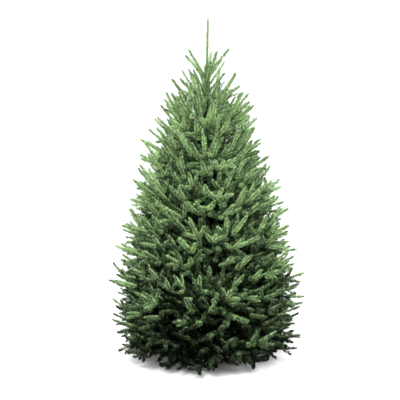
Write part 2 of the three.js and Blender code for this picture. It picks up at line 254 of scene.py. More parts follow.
class Mass:
    """One mass of foliage: its stem and its sprays, by the same rule and numbers as its solid."""

    def __init__(self, k, i):
        self.k, self.i = k, i
        self.random = random = seeded(SEED + 100 * k + i)
        self.reach = reach = limb_reach(k) * lerp(0.96, 1.04, random())
        size = lerp(SPRAY["least"], 1, reach / CROWN["radius"])
        self.length = length = SPRAY["length"] * size
        self.width = SPRAY["radius"] * size
        self.has_bough = k < WHORL["with_boughs"]
        self.start = BOUGH["share"] if self.has_bough else 0.0
        slant = reach / math.cos(whorl_rise(k))
        self.stem_end = max(0.3, 1 - 0.85 * length / slant)
        self.root_radius = BOUGH["tip"] if self.has_bough else lerp(0.004, 0.0075, reach / CROWN["radius"])
        self.lines = []
        self.sprays = []
        if k < CORE["whorls"]:
            # the solid's own core takes its draws first
            for _ in range(4 * CORE["sides"]):
                random()
        tip = limb_point(k, i, reach, self.stem_end)
        way = (tip - limb_point(k, i, reach, lerp(self.start, self.stem_end, 2 / 3))).normalized()
        self.try_spray(tip - way * 0.008, way, length)
        self.sprays = [(self.stem_end, line, w) for line, w in self.sprays]
        self.grow()

    def try_spray(self, root, way, wanted):
        shorter = 1.0
        while shorter > 0.6:
            length = wanted * shorter
            turn = self.random() * 6
            points = []
            for n, (t, wide) in enumerate(SPRAY["rings"]):
                centre = root + way * (t * length)
                ring = [centre]
                if wide:
                    ring = ring_at(centre, way, wide * self.width, 3, turn + n * math.pi / 3)
                points.append(ring)
            tip = points[-1][0]
            shorter -= 0.13
            if any(depth_in_space(self.k, self.i, p) <= 0.004 for ring in points[2:] for p in ring):
                continue
            if math.hypot(tip.x, tip.y) > crown_radius(tip.z) * 1.06 + 0.010:
                continue
            line = (root, tip)
            if any(apart(line, other) < self.width * SPRAY["room"] for other in self.lines):
                continue
            self.lines.append(line)
            self.sprays.append((line, way))
            return True
        return False

    def grow(self):
        """The solid's own sprays, in rows and columns over the mass's outer face."""
        k, i, reach, random = self.k, self.i, self.reach, self.random
        rows, columns = GRID["of"][k]
        half_wedge = 180 / WHORL["masses"][k]
        for row in range(rows):
            for column in range(columns):
                stagger = (row % 2) * 0.5 - 0.25
                u = ((column + 0.5 + stagger + 0.2 * (random() - 0.5)) / columns) * 2 - 1
                level = row / (rows - 1)
                v = level + 0.16 * (0.5 - level) * (1 + random())
                azimuth = rad(mass_azimuth(k, i) + u * half_wedge * GRID["fill"])
                r, z = reach, 0.0
                for _ in range(12):
                    low = max(CROWN["skirt"], layer_top(k - 1, r))
                    z = lerp(low, min(layer_top(k, r), CROWN["apex"] - 0.020), lerp(0.02, 0.98, v))
                    r = lerp(r, crown_radius(z), 0.5)
                r *= lerp(GRID["nearest"], GRID["furthest"], random())
                target = polar(r, azimuth, z)
                leave = self.leaves_at(r, u * half_wedge)
                source = limb_point(k, i, reach, leave)
                rise = whorl_rise(k) + rad(lerp(-GRID["fan"], GRID["fan"], v))
                outward = polar(math.cos(rise), azimuth, math.sin(rise))
                way = (target - source).normalized().lerp(outward, 0.45).normalized()
                wanted = self.length * lerp(0.85, 1.1, random())
                if self.try_spray(target - way * wanted, way, wanted):
                    line, w = self.sprays.pop()
                    self.sprays.append((leave, line, w))

    def leaves_at(self, r, away):
        """The share of the limb where a twig to a radius and an angle off the limb leaves it."""
        sideways = abs(r * math.sin(rad(away)))
        leave = (r - sideways - 0.8 * self.length) / self.reach
        return min(self.stem_end - 0.03, max(self.start + 0.03, leave))

    def places(self, depth, step, top, random):
        """Tips for finer twigs over the mass, at a share of the crown's reach, in a mixed order."""
        k, i, reach = self.k, self.i, self.reach
        half_wedge = 180 / WHORL["masses"][k]
        high = min(top, layer_top(k, reach)) - max(CROWN["skirt"], layer_top(k - 1, reach))
        rows = max(2, round(1.3 * abs(high) / step))
        columns = max(2, round(reach * depth * rad(2 * half_wedge) / step))
        found = []
        for row in range(rows):
            for column in range(columns):
                u = (column + random()) / columns * 2 - 1
                v = (row + random()) / rows
                far = depth * lerp(0.94, 1.1, random() ** 1.6)
                r, z = reach * far, 0.0
                for _ in range(12):
                    low = max(CROWN["skirt"], layer_top(k - 1, r))
                    z = lerp(low, max(low, min(layer_top(k, r), top)), v)
                    r = lerp(r, far * crown_radius(z), 0.5)
                azimuth = rad(mass_azimuth(k, i) + u * half_wedge)
                swell = fuller(polar(1, azimuth, z)) * (1 + 0.06 * lumps(polar(1, azimuth, z)))
                tip = polar(r * swell, azimuth, z)
                found.append((random(), self.leaves_at(r, u * half_wedge), tip))
        found.sort(key=lambda f: f[0])
        return [(leave, tip) for _, leave, tip in found]


# ---------------------------------------------------------------- settings


class CrownSettings(bpy.types.PropertyGroup):
    needle_length: FloatProperty(
        name="Needle length", description="Length of a needle",
        default=0.0185, min=0.005, max=0.05, unit="LENGTH",
    )
    needle_width: FloatProperty(
        name="Needle width", description="A needle is about three quarters of this across",
        default=0.0056, min=0.001, max=0.01, unit="LENGTH",
    )
    needle_pitch: FloatProperty(
        name="Needle pitch", description="Length of shoot for each needle",
        default=0.0014, min=0.0005, max=0.01, unit="LENGTH",
    )
    year: FloatProperty(
        name="Year's growth", description="Length of a year's growth of a twig",
        default=0.108, min=0.03, max=0.3, unit="LENGTH",
    )
    space: FloatProperty(
        name="Space", description="Between the tips of neighbouring twigs",
        default=0.0655, min=0.03, max=0.3, unit="LENGTH",
    )
    top: FloatProperty(
        name="Foot of the spires", description="Height over which only steep shoots off the trunk grow",
        default=1.66, min=1, max=2, unit="LENGTH",
    )
    fork: FloatProperty(
        name="Fork", description="Angle between a twig and its side shoots",
        default=rad(41), min=0, max=rad(90), subtype="ANGLE",
    )
    # painted light: the lightest step, which outer shoots high up reach; the youngest shoots are also lighter
    fresh_lit: FloatVectorProperty(
        name="Fresh needles", description="Lightest green, on the outer shoots near the top",
        default=(0.335, 0.500, 0.219), min=0, max=1, subtype="COLOR",
    )
    # painted shade: the darkest step, inside the crown and near the floor; older shoots are also darker
    deep_shade: FloatVectorProperty(
        name="Deep needles", description="Darkest green, inside and near the floor",
        default=(0.0031, 0.0074, 0.0027), min=0, max=1, subtype="COLOR",
    )
    twig: FloatVectorProperty(
        name="Twigs", description="Bark of the thin twigs",
        default=(0.10, 0.085, 0.05), min=0, max=1, subtype="COLOR",
    )


class BarkSettings(bpy.types.PropertyGroup):
    pale: FloatVectorProperty(
        name="Pale bark", description="Ridges and resin blisters",
        default=(0.105, 0.087, 0.068), min=0, max=1, subtype="COLOR",
    )
    dark: FloatVectorProperty(
        name="Dark bark", description="Hollows of the bark",
        default=(0.018, 0.014, 0.0105), min=0, max=1, subtype="COLOR",
    )
    relief: FloatProperty(
        name="Relief", description="Height of the bark's ridges",
        default=0.0026, min=0, max=0.01, unit="LENGTH",
    )


class StandSettings(bpy.types.PropertyGroup):
    paint: FloatVectorProperty(
        name="Paint", description="Colour of the pot and the legs",
        default=(0.012, 0.035, 0.020), min=0, max=1, subtype="COLOR",
    )
    zinc: FloatVectorProperty(
        name="Zinc", description="Colour of the plated screws",
        default=(0.52, 0.53, 0.55), min=0, max=1, subtype="COLOR",
    )
    bevel: FloatProperty(
        name="Edge", description="Rounding of the bar's edges",
        default=0.0008, min=0.0001, max=0.003, unit="LENGTH",
    )


class StageSettings(bpy.types.PropertyGroup):
    distance: FloatProperty(
        name="Distance", description="From the trunk to the camera",
        default=5.0, min=1, max=20, unit="LENGTH",
    )
    height: FloatProperty(
        name="Height", description="Of the camera", default=1.5, min=0, max=5, unit="LENGTH"
    )
    lens: FloatProperty(name="Lens", description="Focal length in millimetres", default=72.9, min=20, max=200)
    key: FloatProperty(
        name="Key light", description="Power of the light above the front", default=288, min=0, max=2000
    )
    sky: FloatProperty(name="Sky", description="Strength of the light all round", default=1.38, min=0, max=5)


# ---------------------------------------------------------------- growth


# how steeply the year's growth climbs, in degrees, by height
RISE = ((0.0, 0.1, 0.25, 0.5, 0.8, 1.0, 1.3, 1.9), (-10, 2, 22, 42, 48, 50, 52, 57))
# how freely twigs turn away from that, by height
FREEDOM = ((0, 0.7, 1.4, 1.9), (1.4, 1.0, 0.66, 0.46))
# size of the needles, by height
NEEDLE_SIZE = ((0, 0.6, 1.1, 1.85), (0.82, 0.86, 0.94, 0.8))
# how far a twig's tip turns from its straight line to the growth's own direction
TURN = 0.84
# side of the cells in which tips look for their neighbours
CELL = 0.1
SHOOT = {"radius": 0.0019, "side_radius": 0.0017, "thicker": 0.0006, "tries": 4, "shorter": 0.84}
TWIG = {"foot": 0.0034, "tip": 0.0014, "most_years": 6, "year": (0.86, 1.6), "year_power": 1.6}
LIMB = {"steps": 8, "tip": 0.003, "pitch": 1.4}
SPIRES = {
    "below_leader": 0.055,
    "years": 3,
    "strong": 5,
    "strong_step": 0.008,
    "strong_rise": (44, 53),
    "strong_reach": (0.9, 1.0),
    "slim": 12,
    "slim_fewer": 2,
    "slim_from": 0.02,
    "slim_rise": (45, 57),
    "slim_reach": (0.5, 1.0),
    "upturn": 9,
    "fork_from": 0.17,
}
# rounds of finer twigs: layer, share of the crown's reach, spacing, forks, needle size and needle pitch
FINER = (
    (0, 0.86, 1.12, 2, 1.0, 1.05),
    (1, 0.70, 1.12, 1, 1.15, 2.3),
    (2, 0.50, 1.15, 1, 1.25, 3.2),
    (3, 0.28, 1.1, 1, 1.25, 2.8),
)
# a thin filling round the trunk, so that no open line runs right through
FILLING = (
    (4, 0.16, 1.0, 1, 1.25, 3.2),
    (5, 0.40, 1.3, 1, 1.25, 3.6),
)


def by_height(table, z):
    return float(np.interp(z, *table))


def lumps(p):
    """Swells and pockets of the crown round a point, from -1 to 1."""
    a, z = math.atan2(p.y, p.x), p.z
    broad = 0.40 * math.sin(3 * a + 9 * z + 1.1) + 0.25 * math.sin(7 * a - 15 * z + 2.3)
    return broad + 0.20 * math.sin(12 * a + 25 * z + 4.0) + 0.15 * math.sin(17 * a - 33 * z + 0.7)


class Growth:
    """Shoots of the whole crown, gathered as plain rows before they become meshes."""

    def __init__(self, settings):
        self.settings = settings
        self.random = seeded(SEED + 5000)
        self.shoots = []  # whorl, foot, tip, radius, age, needle scale, needle pitch
        self.wood = []  # whorl, points, radii
        self.taken = {}

    def between(self, low, high):
        return lerp(low, high, self.random())

    def room(self, layer, p, space):
        """Whether a tip has room among those already there. If so, it takes its place."""
        x, y, z = (math.floor(c / CELL) for c in p)
        for dx in (-1, 0, 1):
            for dy in (-1, 0, 1):
                for dz in (-1, 0, 1):
                    near = self.taken.get((layer, x + dx, y + dy, z + dz), ())
                    if any((q - p).length < space for q in near):
                        return False
        self.taken.setdefault((layer, x, y, z), []).append(p)
        return True

    def inside(self, p):
        if not CROWN["skirt"] - 0.020 < p.z < CROWN["apex"]:
            return False
        return math.hypot(p.x, p.y) < crown_radius(p.z) * fuller(p) * 1.05 + 0.006

    def shoot(self, k, foot, way, length, age, scale, pitch):
        """One year's growth. It is shortened to stay in the crown, and skipped if it can't."""
        for _ in range(SHOOT["tries"]):
            tip = foot + way * length
            if self.inside(tip):
                radius = SHOOT["side_radius"] + SHOOT["thicker"] * age
                self.shoots.append((k, foot.copy(), tip, radius, age, scale, pitch))
                return tip
            length *= SHOOT["shorter"]
        return None

    def side_ways(self, way):
        """Directions of the two side shoots at a node, in a plane that leans one way or the other."""
        side, up = across(way)
        tilt = rad(self.between(-65, 65))
        ways = []
        for sign in (-1, 1):
            a = self.settings.fork * self.between(0.8, 1.2)
            turn = tilt + rad(self.between(-15, 30)) * sign
            outward = (side * math.cos(turn) + up * math.sin(turn)) * sign
            ways.append((way * math.cos(a) + outward * math.sin(a)).normalized())
        return ways

    def twig(self, k, start, tip, way, forks, scale, pitch, clothed=0):
        """A twig from a limb to its tip: years of growth, with side shoots at the youngest nodes."""
        span = (tip - start).length
        control = tip - way * (0.75 * span)
        year = self.settings.year * self.between(0.85, 1.15)
        year *= lerp(*TWIG["year"], (tip.z / CROWN["apex"]) ** TWIG["year_power"])
        scale *= self.between(0.88, 1.12) * by_height(NEEDLE_SIZE, tip.z)
        aslant = (tip - start).normalized().dot(way) < 0.85
        years = max(2 if aslant else 1, min(TWIG["most_years"], round(span / year)))
        nodes = []
        for n in range(years + 1):
            t = 1 - n / years
            nodes.append(start * ((1 - t) ** 2) + control * (2 * t * (1 - t)) + tip * (t * t))
        radii = [lerp(TWIG["foot"], TWIG["tip"], n / years) for n in range(years + 1)]
        self.wood.append((k, nodes[::-1], radii))
        for n in range(min(years, max(clothed, forks + 1))):
            top, foot = nodes[n], nodes[n + 1]
            self.shoots.append((k, foot, top, SHOOT["radius"], n, scale, pitch * (1 + 0.5 * n)))
            if n < forks:
                self.side_shoots(k, foot, top, year, n, scale, pitch)

    def side_shoots(self, k, foot, top, year, age, scale, pitch):
        """The pair of side shoots at a node. Older ones have grown on and may fork once more."""
        along = (top - foot).normalized()
        length = min((top - foot).length, 1.2 * year)
        for w in self.side_ways(along):
            grown = length * self.between(0.6, 0.9)
            end = self.shoot(k, foot, w, grown, age, scale, pitch * (1 + 0.25 * age))
            if end is None or age == 0:
                continue
            onward = (w * 0.85 + along * 0.3 + UP * 0.06).normalized()
            self.shoot(k, end, onward, length * self.between(0.6, 0.85), age - 1, scale, pitch)
            if self.random() < 0.6:
                forked = self.side_ways(onward)[0 if self.random() < 0.5 else 1]
                self.shoot(k, end, forked, length * self.between(0.5, 0.7), age - 1, scale, pitch)

    def limb(self, mass):
        """A mass's stem, which grows on from its bough or from the trunk."""
        k, steps = mass.k, LIMB["steps"]
        shares = [lerp(mass.start, mass.stem_end, n / steps) for n in range(steps + 1)]
        points = [limb_point(k, mass.i, mass.reach, t) for t in shares]
        radii = [lerp(mass.root_radius, LIMB["tip"], n / steps) for n in range(steps + 1)]
        if mass.has_bough:
            points[0] = points[0] + (points[1] - points[0]).normalized() * GAP
        self.wood.append((k, points, radii))
        if not mass.has_bough:
            for n in range(2, steps):
                self.shoots.append((k, points[n], points[n + 1], radii[n], 2, 1.0, LIMB["pitch"]))

    def towards(self, mass, leave, tip):
        """Where a twig leaves its limb, and the direction in which its tip points."""
        start = limb_point(mass.k, mass.i, mass.reach, leave)
        freedom = by_height(FREEDOM, tip.z)
        upright = max(0, 1 - math.hypot(tip.x, tip.y) / 0.12) * min(1, tip.z)
        climb = lerp(rad(by_height(RISE, tip.z)), rad(82), upright) + rad(self.between(-22, 24)) * freedom
        away = math.atan2(tip.y, tip.x) + rad(self.between(-28, 28)) * freedom
        outward = polar(math.cos(climb), away, math.sin(climb))
        return start, (tip - start).normalized().lerp(outward, TURN).normalized()

    def spires(self):
        """The crown's top: steep shoots off the trunk, strong at each year's whorl and slim between."""
        top = TREE["leader_foot"] - SPIRES["below_leader"]
        gap = whorl_height(1) - whorl_height(0)
        feet = []
        for year in range(SPIRES["years"]):
            whorl = top - year * gap
            for n in range(SPIRES["strong"]):
                feet.append((whorl - SPIRES["strong_step"] * n, 72 * n + 37 * year, "strong"))
            slim = SPIRES["slim"] - SPIRES["slim_fewer"] * year
            for n in range(slim):
                drop = lerp(SPIRES["slim_from"], gap, (n + 0.5) / slim)
                feet.append((whorl - drop, WHORL["turn"] * n + 50 * year, "slim"))
        for z, azimuth, kind in feet:
            azimuth = rad(azimuth + self.between(-14, 14))
            rise = rad(self.between(*SPIRES[f"{kind}_rise"]))
            full = 0.0
            while self.inside(polar(full, azimuth, z + full * math.tan(rise))):
                full += 0.004
            reach = full * self.between(*SPIRES[f"{kind}_reach"])
            foot = trunk_centre(z)
            tip = polar(reach, azimuth, z + reach * math.tan(rise)) + Vector((foot.x, foot.y, 0))
            end = rise + rad(SPIRES["upturn"])
            way = polar(math.cos(end), azimuth, math.sin(end))
            k = max(5, min(7, round((z - WHORL["lowest"]) / gap)))
            if kind == "strong":
                self.twig(k, foot, tip, way, 1 if reach > SPIRES["fork_from"] else 0, 1.15, 0.8, 6)
            else:
                self.twig(k, foot, tip, way, 0, 0.85, 0.85, 6)

    def outer(self, mass):
        """The long shoots at the places of the solid's own sprays."""
        self.limb(mass)
        for leave, (root, tip), way in mass.sprays:
            if tip.z > self.settings.top:
                continue
            # this tip takes its place, whatever is near, and the finer twigs keep off it
            self.room(0, tip, 0.0)
            tip = polar(math.hypot(tip.x, tip.y) * fuller(tip), math.atan2(tip.y, tip.x), tip.z)
            start, way = self.towards(mass, leave, tip)
            self.twig(mass.k, start, tip, way, 2 if tip.z < 1.35 else 1, 1.0, 0.74)

    def finer(self, mass, layer, depth, space, forks, scale, pitch):
        """Finer twigs, set evenly among those already there at a share of the crown's reach."""
        for leave, tip in mass.places(depth, space * 0.6, self.settings.top, self.random):
            if tip.z > (1.62 if layer == 0 else 1.72) or (layer == 0 and lumps(tip) < -0.55):
                continue
            if self.room(layer, tip, space * lerp(0.95, 1.3, (tip.z / CROWN["apex"]) ** 2)):
                start, way = self.towards(mass, leave, tip)
                self.twig(mass.k, start, tip, way, forks, scale, pitch)

    def crown(self):
        """The whole crown, from its spires and its outer shoots in to the trunk."""
        masses = [Mass(k, i) for k in range(WHORL["count"]) for i in range(WHORL["masses"][k])]
        self.spires()
        masses = [mass for mass in masses if mass.k < WHORL["count"] - 1]
        for mass in masses:
            self.outer(mass)
        for layers in (FINER, FILLING):
            for mass in masses:
                for layer, depth, spacing, forks, scale, pitch in layers:
                    self.finer(mass, layer, depth, self.settings.space * spacing, forks, scale, pitch)


# ---------------------------------------------------------------- needles

NEEDLE = {
    "fewest": 5,
    "turn": 2.39996,
    "turn_spread": 0.9,
    "first_turn": 1.7,
    "lean": 58,
    "lean_spread": 7,
    "bud_lean": 42,
    "lift": 0.16,
    "foot": 0.38,
    "tip": 0.34,
    "keel": 0.2,
}
# needles that stand together differ from the next ones as a tuft
TUFT = 6
# steps of one green, darkest to lightest: lit and shaded copies that carry the painted light and shade of the
# crown, with the shade of age and chance
SHADES = ("black", "deep_shade", "inner", "shaded", "dull", "middle", "open", "bright", "fresh_lit")
# painted light and shade: the usual shade of an outer shoot, by height, darker towards the floor where less
# light falls
OPEN_AIR = (
    (0.0, 0.1, 0.2, 0.33, 0.45, 0.6, 0.7, 0.85, 1.0, 1.2, 1.4, 1.55, 1.9),
    (2.8, 3.8, 6.2, 7.6, 8.0, 8.6, 9.1, 9.2, 9.1, 8.7, 8.8, 8.0, 7.8),
)
# painted shade: shades lost for each metre inside the crown's edge, by height, where the crown shades itself
SHELTER = ((0.0, 0.2, 0.5, 0.85, 1.0, 1.3, 1.5, 1.9), (50, 39, 31, 24, 21, 11, 5, 2.5))
# shades between neighbouring shoots, by height
UNLIKE = ((0.2, 0.6, 1.3), (2.2, 1.3, 0.6))
# painted light: shades between a shoot's lit upper needles and its shaded lower ones, by height; and shades
# at random from needle to needle, by height
TOP_LIGHT = ((0.0, 0.5, 0.9, 1.3), (1.4, 1.2, 0.85, 0.35))
MOTTLE = ((0.3, 0.8, 1.4), (2.2, 1.7, 0.95))
# painted light: shades between a needle's lit tip half and its darker foot half, by height
LIT_HALVES = ((0.6, 1.5), (0.9, 0.5))
# the needles towards each shoot's tip are darker, by this many shades: painted shade that holds down the
# light on the tips, and the dark buds
TIP_SHADE_AND_BUD = 1.6
# shades lost with each year of a shoot's age
AGE_SHADE = 0.6
# triangles in a piece, at most
PIECE_LIMIT = 190000


def needle_arrays(shoots, settings, rng, short=1.0):
    """Corners of every needle, four for each: its foot's two sides and its blunt tip's two sides."""
    foot = np.array([s[1] for s in shoots])
    tip = np.array([s[2] for s in shoots])
    bark = np.array([s[3] for s in shoots]) * 0.8
    age = np.array([s[4] for s in shoots], dtype=float)
    scale = np.array([s[5] for s in shoots])
    pitch = np.array([s[6] for s in shoots])
    line = tip - foot
    length = np.linalg.norm(line, axis=1)
    way = line / length[:, None]
    side = np.cross(way, (0, 0, 1.0))
    flat = np.linalg.norm(side, axis=1) < 1e-3
    side[flat] = (1, 0, 0)
    side /= np.linalg.norm(side, axis=1)[:, None]
    up = np.cross(side, way)
    count = np.maximum(NEEDLE["fewest"], (length / (settings.needle_pitch * pitch)).astype(int))
    row = np.repeat(np.arange(len(shoots)), count)
    first = np.repeat(np.cumsum(count) - count, count)
    order = np.arange(len(row)) - first
    t = np.minimum(1, (order + rng.random(len(row))) / count[row])
    around = order * NEEDLE["turn"] + rng.random(len(row)) * NEEDLE["turn_spread"]
    around += row * NEEDLE["first_turn"]
    out = np.cos(around)[:, None] * side[row] + np.sin(around)[:, None] * up[row]
    lean = NEEDLE["lean"] - NEEDLE["lean_spread"] * rng.random(len(row))
    lean = np.radians(lean - NEEDLE["bud_lean"] * t**6 * (age[row] < 0.5))
    aim = np.cos(lean)[:, None] * way[row] + np.sin(lean)[:, None] * out
    aim[:, 2] += NEEDLE["lift"]
    aim /= np.linalg.norm(aim, axis=1)[:, None]
    tuft = row * 31 + (order // TUFT) * 2 + (np.cos(around) > 0)
    uneven = 0.88 + 0.1 * rng.random(len(row)) + 0.14 * rng.random(tuft.max() + 1)[tuft]
    long = settings.needle_length * short * scale[row] * uneven
    wide = settings.needle_width * (0.85 + 0.3 * rng.random(len(row))) * (0.6 + 0.4 * short)
    wide *= 1 + 0.3 * np.maximum(0, pitch[row] - 1.5)
    base = foot[row] + line[row] * t[:, None] + out * bark[row, None]
    edge = np.cross(aim, way[row])
    edge /= np.linalg.norm(edge, axis=1)[:, None] + 1e-9
    keel = np.cross(edge, aim)
    roll = rng.normal(0, 0.8, len(row))
    edge = edge * np.cos(roll)[:, None] + keel * np.sin(roll)[:, None]
    end = base + aim * long[:, None]
    corners = np.empty((len(row), 4, 3))
    corners[:, 0] = base - edge * (wide * NEEDLE["foot"])[:, None]
    corners[:, 1] = base + edge * (wide * NEEDLE["foot"])[:, None]
    corners[:, 2] = end + edge * (wide * NEEDLE["tip"])[:, None]
    corners[:, 3] = end - edge * (wide * NEEDLE["tip"])[:, None] + keel * (wide * NEEDLE["keel"])[:, None]
    height = base[:, 2]
    mottle = 0.5 * rng.normal(size=len(row)) + 0.35 * rng.normal(size=tuft.max() + 1)[tuft]
    # painted light: a shoot's upper needles lighter and its lower ones darker, and shades at random by needle
    # and tuft
    lit = np.interp(height, *TOP_LIGHT) * np.sin(around) + mottle * np.interp(height, *MOTTLE)
    # painted shade on the needles towards each shoot's tip, with its dark bud
    return corners, row, lit - TIP_SHADE_AND_BUD * t**5


def needle_faces(count):
    """Two triangles for each needle, in the order of its corners."""
    at = np.arange(count)[:, None] * 4
    return np.concatenate((at + (0, 1, 2), at + (0, 2, 3)), axis=1).reshape(-1, 3)


def deal_shades(shoots, rng):
    """Painted light and shade for each shoot: lighter outside and high up, darker inside and near the floor;
    also darker with age, and unlike its neighbours at random.
    """
    rows = np.empty(len(shoots))
    for n, (_, foot, tip, _, age, _, _) in enumerate(shoots):
        middle = (foot + tip) / 2
        within = crown_radius(middle.z) * 0.95 - math.hypot(middle.x, middle.y)
        shade = by_height(OPEN_AIR, middle.z) - by_height(SHELTER, middle.z) * max(0, within)
        rows[n] = shade - AGE_SHADE * age + by_height(UNLIKE, middle.z) * (rng.random() - 0.5)
    return rows


def mesh_from_arrays(name, points, triangles, shades=None):
    mesh = bpy.data.meshes.new(name)
    mesh.vertices.add(len(points))
    mesh.vertices.foreach_set("co", np.ascontiguousarray(points, dtype=np.float32).ravel())
    mesh.loops.add(3 * len(triangles))
    mesh.loops.foreach_set("vertex_index", np.ascontiguousarray(triangles, dtype=np.int32).ravel())
    mesh.polygons.add(len(triangles))
    mesh.polygons.foreach_set("loop_start", np.arange(0, 3 * len(triangles), 3, dtype=np.int32))
    if shades is not None:
        mesh.polygons.foreach_set("material_index", np.ascontiguousarray(shades, dtype=np.int32))
    mesh.update(calc_edges=True)
    mesh.validate()
    piece = bpy.data.objects.new(name, mesh)
    bpy.context.scene.collection.objects.link(piece)
    return piece


def tube_arrays(tubes):
    """Closed tapering tubes: rows of (points, radii, sides)."""
    points, triangles = [], []
    for line, radii, sides in tubes:
        at = len(points)
        last = len(line) - 1
        for n, p in enumerate(line):
            way = (line[min(last, n + 1)] - line[max(0, n - 1)]).normalized()
            points.extend(ring_at(p, way, radii[n], sides))
        for n in range(last):
            a, b = at + n * sides, at + (n + 1) * sides
            for j in range(sides):
                m = (j + 1) % sides
                triangles.append((a + j, a + m, b + j))
                triangles.append((a + m, b + m, b + j))
        for j in range(1, sides - 1):
            triangles.append((at, at + j + 1, at + j))
            triangles.append((at + last * sides, at + last * sides + j, at + last * sides + j + 1))
    return np.array([tuple(p) for p in points]), np.array(triangles)


# ---------------------------------------------------------------- materials

def plain_material(name, colour, roughness, specular=0.35):
    material = bpy.data.materials.new(name)
    material.use_nodes = True
    shader = material.node_tree.nodes["Principled BSDF"]
    shader.inputs["Base Color"].default_value = (*colour, 1)
    shader.inputs["Roughness"].default_value = roughness
    shader.inputs["Specular IOR Level"].default_value = specular
    material.diffuse_color = (*colour, 1)
    return material


def needle_materials(settings):
    """Lit and shaded copies of one green, in even steps from the darkest to the lightest: painted light and
    shade, the darker ones rougher and less glossy.
    """
    materials = []
    for n, shade in enumerate(SHADES):
        t = n / (len(SHADES) - 1)
        mixed = [d * (f / d) ** t for d, f in zip(settings.deep_shade, settings.fresh_lit)]
        materials.append(plain_material(f"needles_{shade}", mixed, lerp(0.7, 0.42, t), lerp(0.02, 0.40, t)))
    return materials


def new_group(name, inputs, outputs):
    group = bpy.data.node_groups.new(name, "ShaderNodeTree")
    for label, kind, default in inputs:
        socket = group.interface.new_socket(name=label, in_out="INPUT", socket_type=kind)
        socket.default_value = default
    for label, kind in outputs:
        group.interface.new_socket(name=label, in_out="OUTPUT", socket_type=kind)
    return group, group.nodes.new("NodeGroupInput"), group.nodes.new("NodeGroupOutput")


def grain_group():
    """Mottled colour with its own height and roughness, on Object coordinates."""
    if "mottled_grain" in bpy.data.node_groups:
        return bpy.data.node_groups["mottled_grain"]
    group, given, out = new_group(
        "mottled_grain",
        (
            ("Dark", "NodeSocketColor", (0.05, 0.04, 0.03, 1)),
            ("Pale", "NodeSocketColor", (0.2, 0.16, 0.12, 1)),
            ("Scale", "NodeSocketFloat", 40.0),
            ("Stretch", "NodeSocketFloat", 1.0),
            ("Rough Low", "NodeSocketFloat", 0.6),
            ("Rough High", "NodeSocketFloat", 0.9),
        ),
        (("Color", "NodeSocketColor"), ("Roughness", "NodeSocketFloat"), ("Height", "NodeSocketFloat")),
    )
    nodes, link = group.nodes, group.links.new
    place = nodes.new("ShaderNodeTexCoord")
    stretch = nodes.new("ShaderNodeCombineXYZ")
    stretch.inputs["X"].default_value = 1
    stretch.inputs["Y"].default_value = 1
    link(given.outputs["Stretch"], stretch.inputs["Z"])
    scaled = nodes.new("ShaderNodeVectorMath")
    scaled.operation = "MULTIPLY"
    link(place.outputs["Object"], scaled.inputs[0])
    link(stretch.outputs["Vector"], scaled.inputs[1])
    broad = nodes.new("ShaderNodeTexNoise")
    broad.inputs["Detail"].default_value = 5
    broad.inputs["Roughness"].default_value = 0.62
    link(scaled.outputs["Vector"], broad.inputs["Vector"])
    link(given.outputs["Scale"], broad.inputs["Scale"])
    fine_scale = nodes.new("ShaderNodeMath")
    fine_scale.operation = "MULTIPLY"
    fine_scale.inputs[1].default_value = 5.5
    link(given.outputs["Scale"], fine_scale.inputs[0])
    fine = nodes.new("ShaderNodeTexNoise")
    fine.inputs["Detail"].default_value = 3
    link(scaled.outputs["Vector"], fine.inputs["Vector"])
    link(fine_scale.outputs["Value"], fine.inputs["Scale"])
    blend = nodes.new("ShaderNodeMath")
    blend.operation = "MULTIPLY_ADD"
    blend.inputs[1].default_value = 0.35
    link(fine.outputs["Fac"], blend.inputs[0])
    link(broad.outputs["Fac"], blend.inputs[2])
    spread = nodes.new("ShaderNodeMapRange")
    spread.inputs["From Min"].default_value = 0.52
    spread.inputs["From Max"].default_value = 0.84
    link(blend.outputs["Value"], spread.inputs["Value"])
    colour = nodes.new("ShaderNodeMix")
    colour.data_type = "RGBA"
    link(spread.outputs["Result"], colour.inputs["Factor"])
    link(given.outputs["Dark"], colour.inputs["A"])
    link(given.outputs["Pale"], colour.inputs["B"])
    rough = nodes.new("ShaderNodeMapRange")
    link(spread.outputs["Result"], rough.inputs["Value"])
    link(given.outputs["Rough High"], rough.inputs["To Min"])
    link(given.outputs["Rough Low"], rough.inputs["To Max"])
    link(colour.outputs["Result"], out.inputs["Color"])
    link(rough.outputs["Result"], out.inputs["Roughness"])
    link(spread.outputs["Result"], out.inputs["Height"])
    return group


def grained_material(name, dark, pale, scale, stretch, rough, bump, metallic=0.0, coat=0.0):
    material = bpy.data.materials.new(name)
    material.use_nodes = True
    nodes, link = material.node_tree.nodes, material.node_tree.links.new
    shader = nodes["Principled BSDF"]
    grain = nodes.new("ShaderNodeGroup")
    grain.node_tree = grain_group()
    grain.inputs["Dark"].default_value = (*dark, 1)
    grain.inputs["Pale"].default_value = (*pale, 1)
    grain.inputs["Scale"].default_value = scale
    grain.inputs["Stretch"].default_value = stretch
    grain.inputs["Rough Low"].default_value = rough[0]
    grain.inputs["Rough High"].default_value = rough[1]
    link(grain.outputs["Color"], shader.inputs["Base Color"])
    link(grain.outputs["Roughness"], shader.inputs["Roughness"])
    height = nodes.new("ShaderNodeBump")
    height.inputs["Distance"].default_value = bump
    height.inputs["Strength"].default_value = 0.8
    link(grain.outputs["Height"], height.inputs["Height"])
    link(height.outputs["Normal"], shader.inputs["Normal"])
    shader.inputs["Metallic"].default_value = metallic
    shader.inputs["Coat Weight"].default_value = coat
    material.diffuse_color = (*pale, 1)
    return material


def bark_material(settings, name, scale, stretch):
    return grained_material(name, settings.dark, settings.pale, scale, stretch, (0.7, 0.95), 0.0012)


